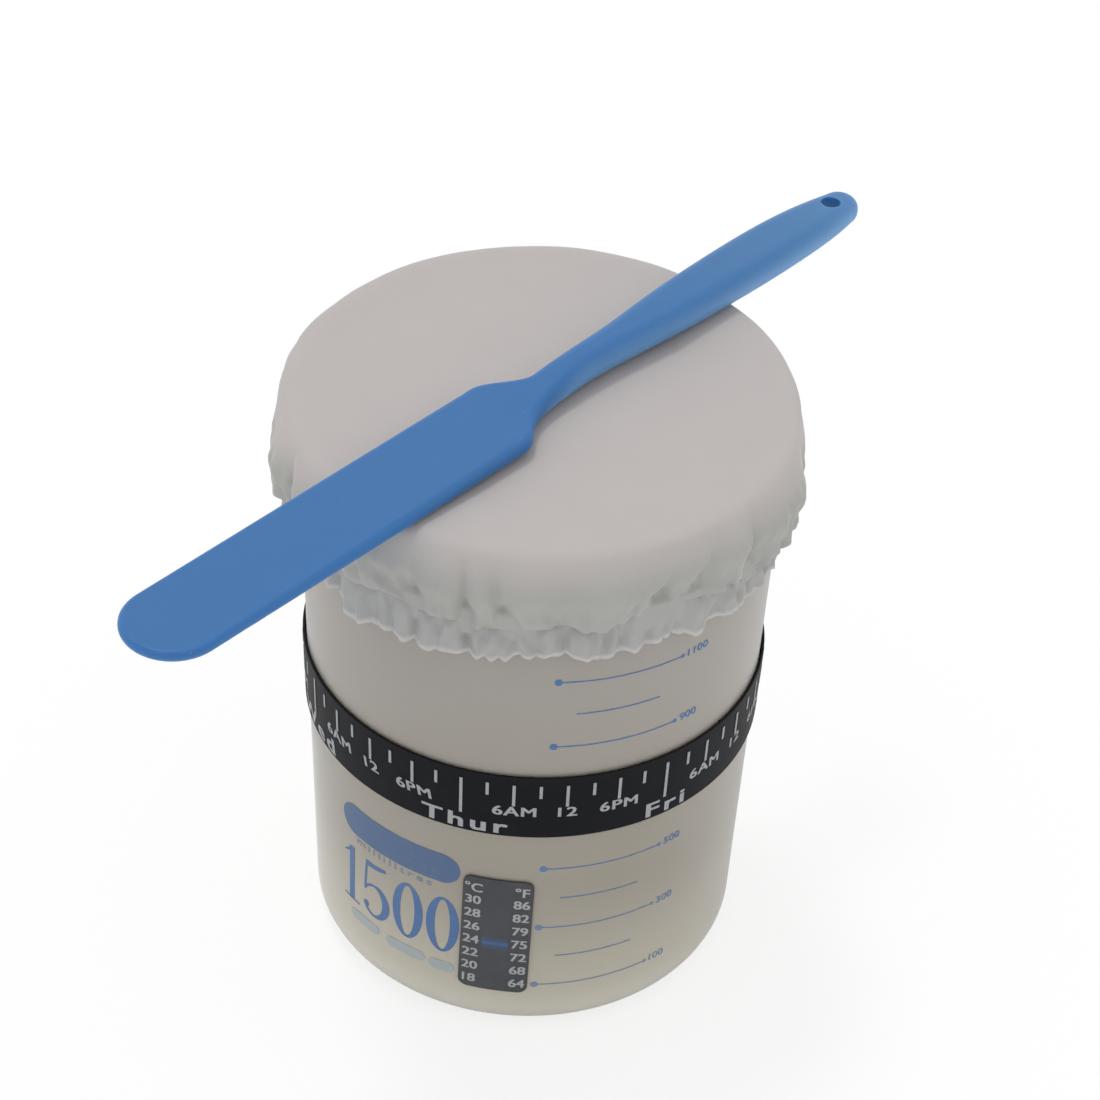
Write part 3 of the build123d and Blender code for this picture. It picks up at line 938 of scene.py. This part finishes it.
def blue_silicone(start):
    """Satin silicone, paler along the handle, painted paler below its upper edges as light through it, with
    specks of dust.
    """
    point = start.place()
    along = point.part(0) * cos(spatula_heading) + point.part(1) * sin(spatula_heading)
    cloud = start.noise(point, 45, 3)
    speck = start.noise(point, 1300, 2)
    grain = start.noise(point, 3200, 2)
    paler = along.step(0.0, 0.105) * 0.55 + cloud * 0.12
    top = paler.pick(silicone_blue, silicone_pale)
    lit_top = blade_top_height + along.step(-0.02, 0.01) * handle_top_rise
    # Painted light: below its upper edges the silicone is painted paler, as light coming through it.
    lit_through = (1 - (point.part(2) - lit_top).step(-0.0042, 0.0)) * 0.75
    dusty = (speck.step(0.74, 0.82) * 0.5).pick(lit_through.pick(top, silicone_painted_light), silicone_dust)
    relief = start.bump(grain * 0.5 + cloud * 0.5, 0.00003, 0.5)
    return start.surface(
        {
            "Base Color": dusty,
            "Roughness": 0.40 + cloud * 0.12,
            "Specular IOR Level": 0.35,
            "Subsurface Weight": 0.8,
            "Subsurface Radius": (0.0012, 0.0020, 0.0030),
            "Subsurface Scale": 1.0,
            "Normal": relief,
        }
    )


def plain_steel(start):
    """Bare spring steel with a fine grain along it."""
    grain = start.noise(start.place(), 1500, 2, (1, 1, 8))
    return start.surface({"Base Color": steel_grey, "Metallic": 1.0, "Roughness": 0.3 + grain * 0.2})


dress("spatula_skin", finish_of("blue silicone", blue_silicone))
dress("spatula_core", finish_of("core strip", plain_steel))

# Floor, light and camera
# A wide pale floor, a soft sun from the back left and a pale sky. The sky is white to the camera, in
# reflections and through clear things, and lights the object a little less than that.
floor_size = 6.0
floor_colour = (0.97, 0.97, 0.97, 1)
floor_glow = 0.75
plain_white = (1, 1, 1, 1)
sky_strength = 0.84
sun_strength = 0.75
sun_spread = radians(12)
sun_from = Vector((-0.18, 0.22, 1.0))


def pale_floor(start):
    """Pale floor that the camera sees brightened, and that still takes the object's shadow."""
    shadowed = start.node("ShaderNodeBsdfDiffuse", inputs={"Color": floor_colour})
    white = start.node("ShaderNodeEmission", inputs={"Color": plain_white, "Strength": 1.0})
    seen = start.node("ShaderNodeLightPath", output="Is Camera Ray")
    return start.node("ShaderNodeMixShader", inputs={0: seen * floor_glow, 1: shadowed, 2: white})


bpy.ops.mesh.primitive_plane_add(size=floor_size)
floor = bpy.context.object
floor.name = "floor"
floor.data.materials.append(finish_of("pale floor", pale_floor))

world = bpy.data.worlds.new("studio")
bpy.context.scene.world = world
world.use_nodes = True
world.node_tree.nodes.clear()
sky = Signal(world.node_tree)
camera_ray = sky.node("ShaderNodeLightPath", output="Is Camera Ray")
glossy_ray = sky.node("ShaderNodeLightPath", output="Is Glossy Ray")
clear_ray = sky.node("ShaderNodeLightPath", output="Is Transmission Ray")
white_seen = sky.maths("MAXIMUM", sky.maths("MAXIMUM", camera_ray, glossy_ray), clear_ray)
dim = sky.node("ShaderNodeBackground", inputs={"Color": plain_white, "Strength": sky_strength})
white = sky.node("ShaderNodeBackground", inputs={"Color": plain_white, "Strength": 1.0})
seen = sky.node("ShaderNodeMixShader", inputs={0: white_seen, 1: dim, 2: white})
sky.node("ShaderNodeOutputWorld", inputs={"Surface": seen})

sun_data = bpy.data.lights.new("sun", "SUN")
sun_data.energy = sun_strength
sun_data.angle = sun_spread
sun = bpy.data.objects.new("sun", sun_data)
bpy.context.scene.collection.objects.link(sun)
sun.rotation_euler = sun_from.to_track_quat("Z", "Y").to_euler()

# The camera was fitted to the jar's rings and ticks in the photograph.
focal_pixels = 3500
picture_pixels = 1100
aim = Vector((0, 0, 0.08808))
camera_distance = 0.88804
camera_elevation = radians(40.21)
camera_yaw, camera_pitch, camera_roll = 0.00357, 0.02299, radians(2.69)
camera_data = bpy.data.cameras.new("camera")
camera_data.sensor_width = 36
camera_data.lens = focal_pixels / picture_pixels * camera_data.sensor_width
camera_data.clip_start = 0.05
camera = bpy.data.objects.new("camera", camera_data)
bpy.context.scene.collection.objects.link(camera)
bpy.context.scene.camera = camera
ahead = Vector((0, cos(camera_elevation), -sin(camera_elevation)))
up = Vector((0, sin(camera_elevation), cos(camera_elevation)))
right = Vector((1, 0, 0))
yawed = ahead * cos(camera_yaw) + right * sin(camera_yaw)
sideways = right * cos(camera_yaw) - ahead * sin(camera_yaw)
forward = yawed * cos(camera_pitch) + up * sin(camera_pitch)
upright = up * cos(camera_pitch) - yawed * sin(camera_pitch)
camera_x = sideways * cos(camera_roll) + upright * sin(camera_roll)
camera_y = upright * cos(camera_roll) - sideways * sin(camera_roll)
turned = Matrix((camera_x, camera_y, -forward)).transposed().to_4x4()
camera.matrix_world = Matrix.Translation(aim - ahead * camera_distance) @ turned
bpy.context.scene.view_settings.view_transform = "Standard"
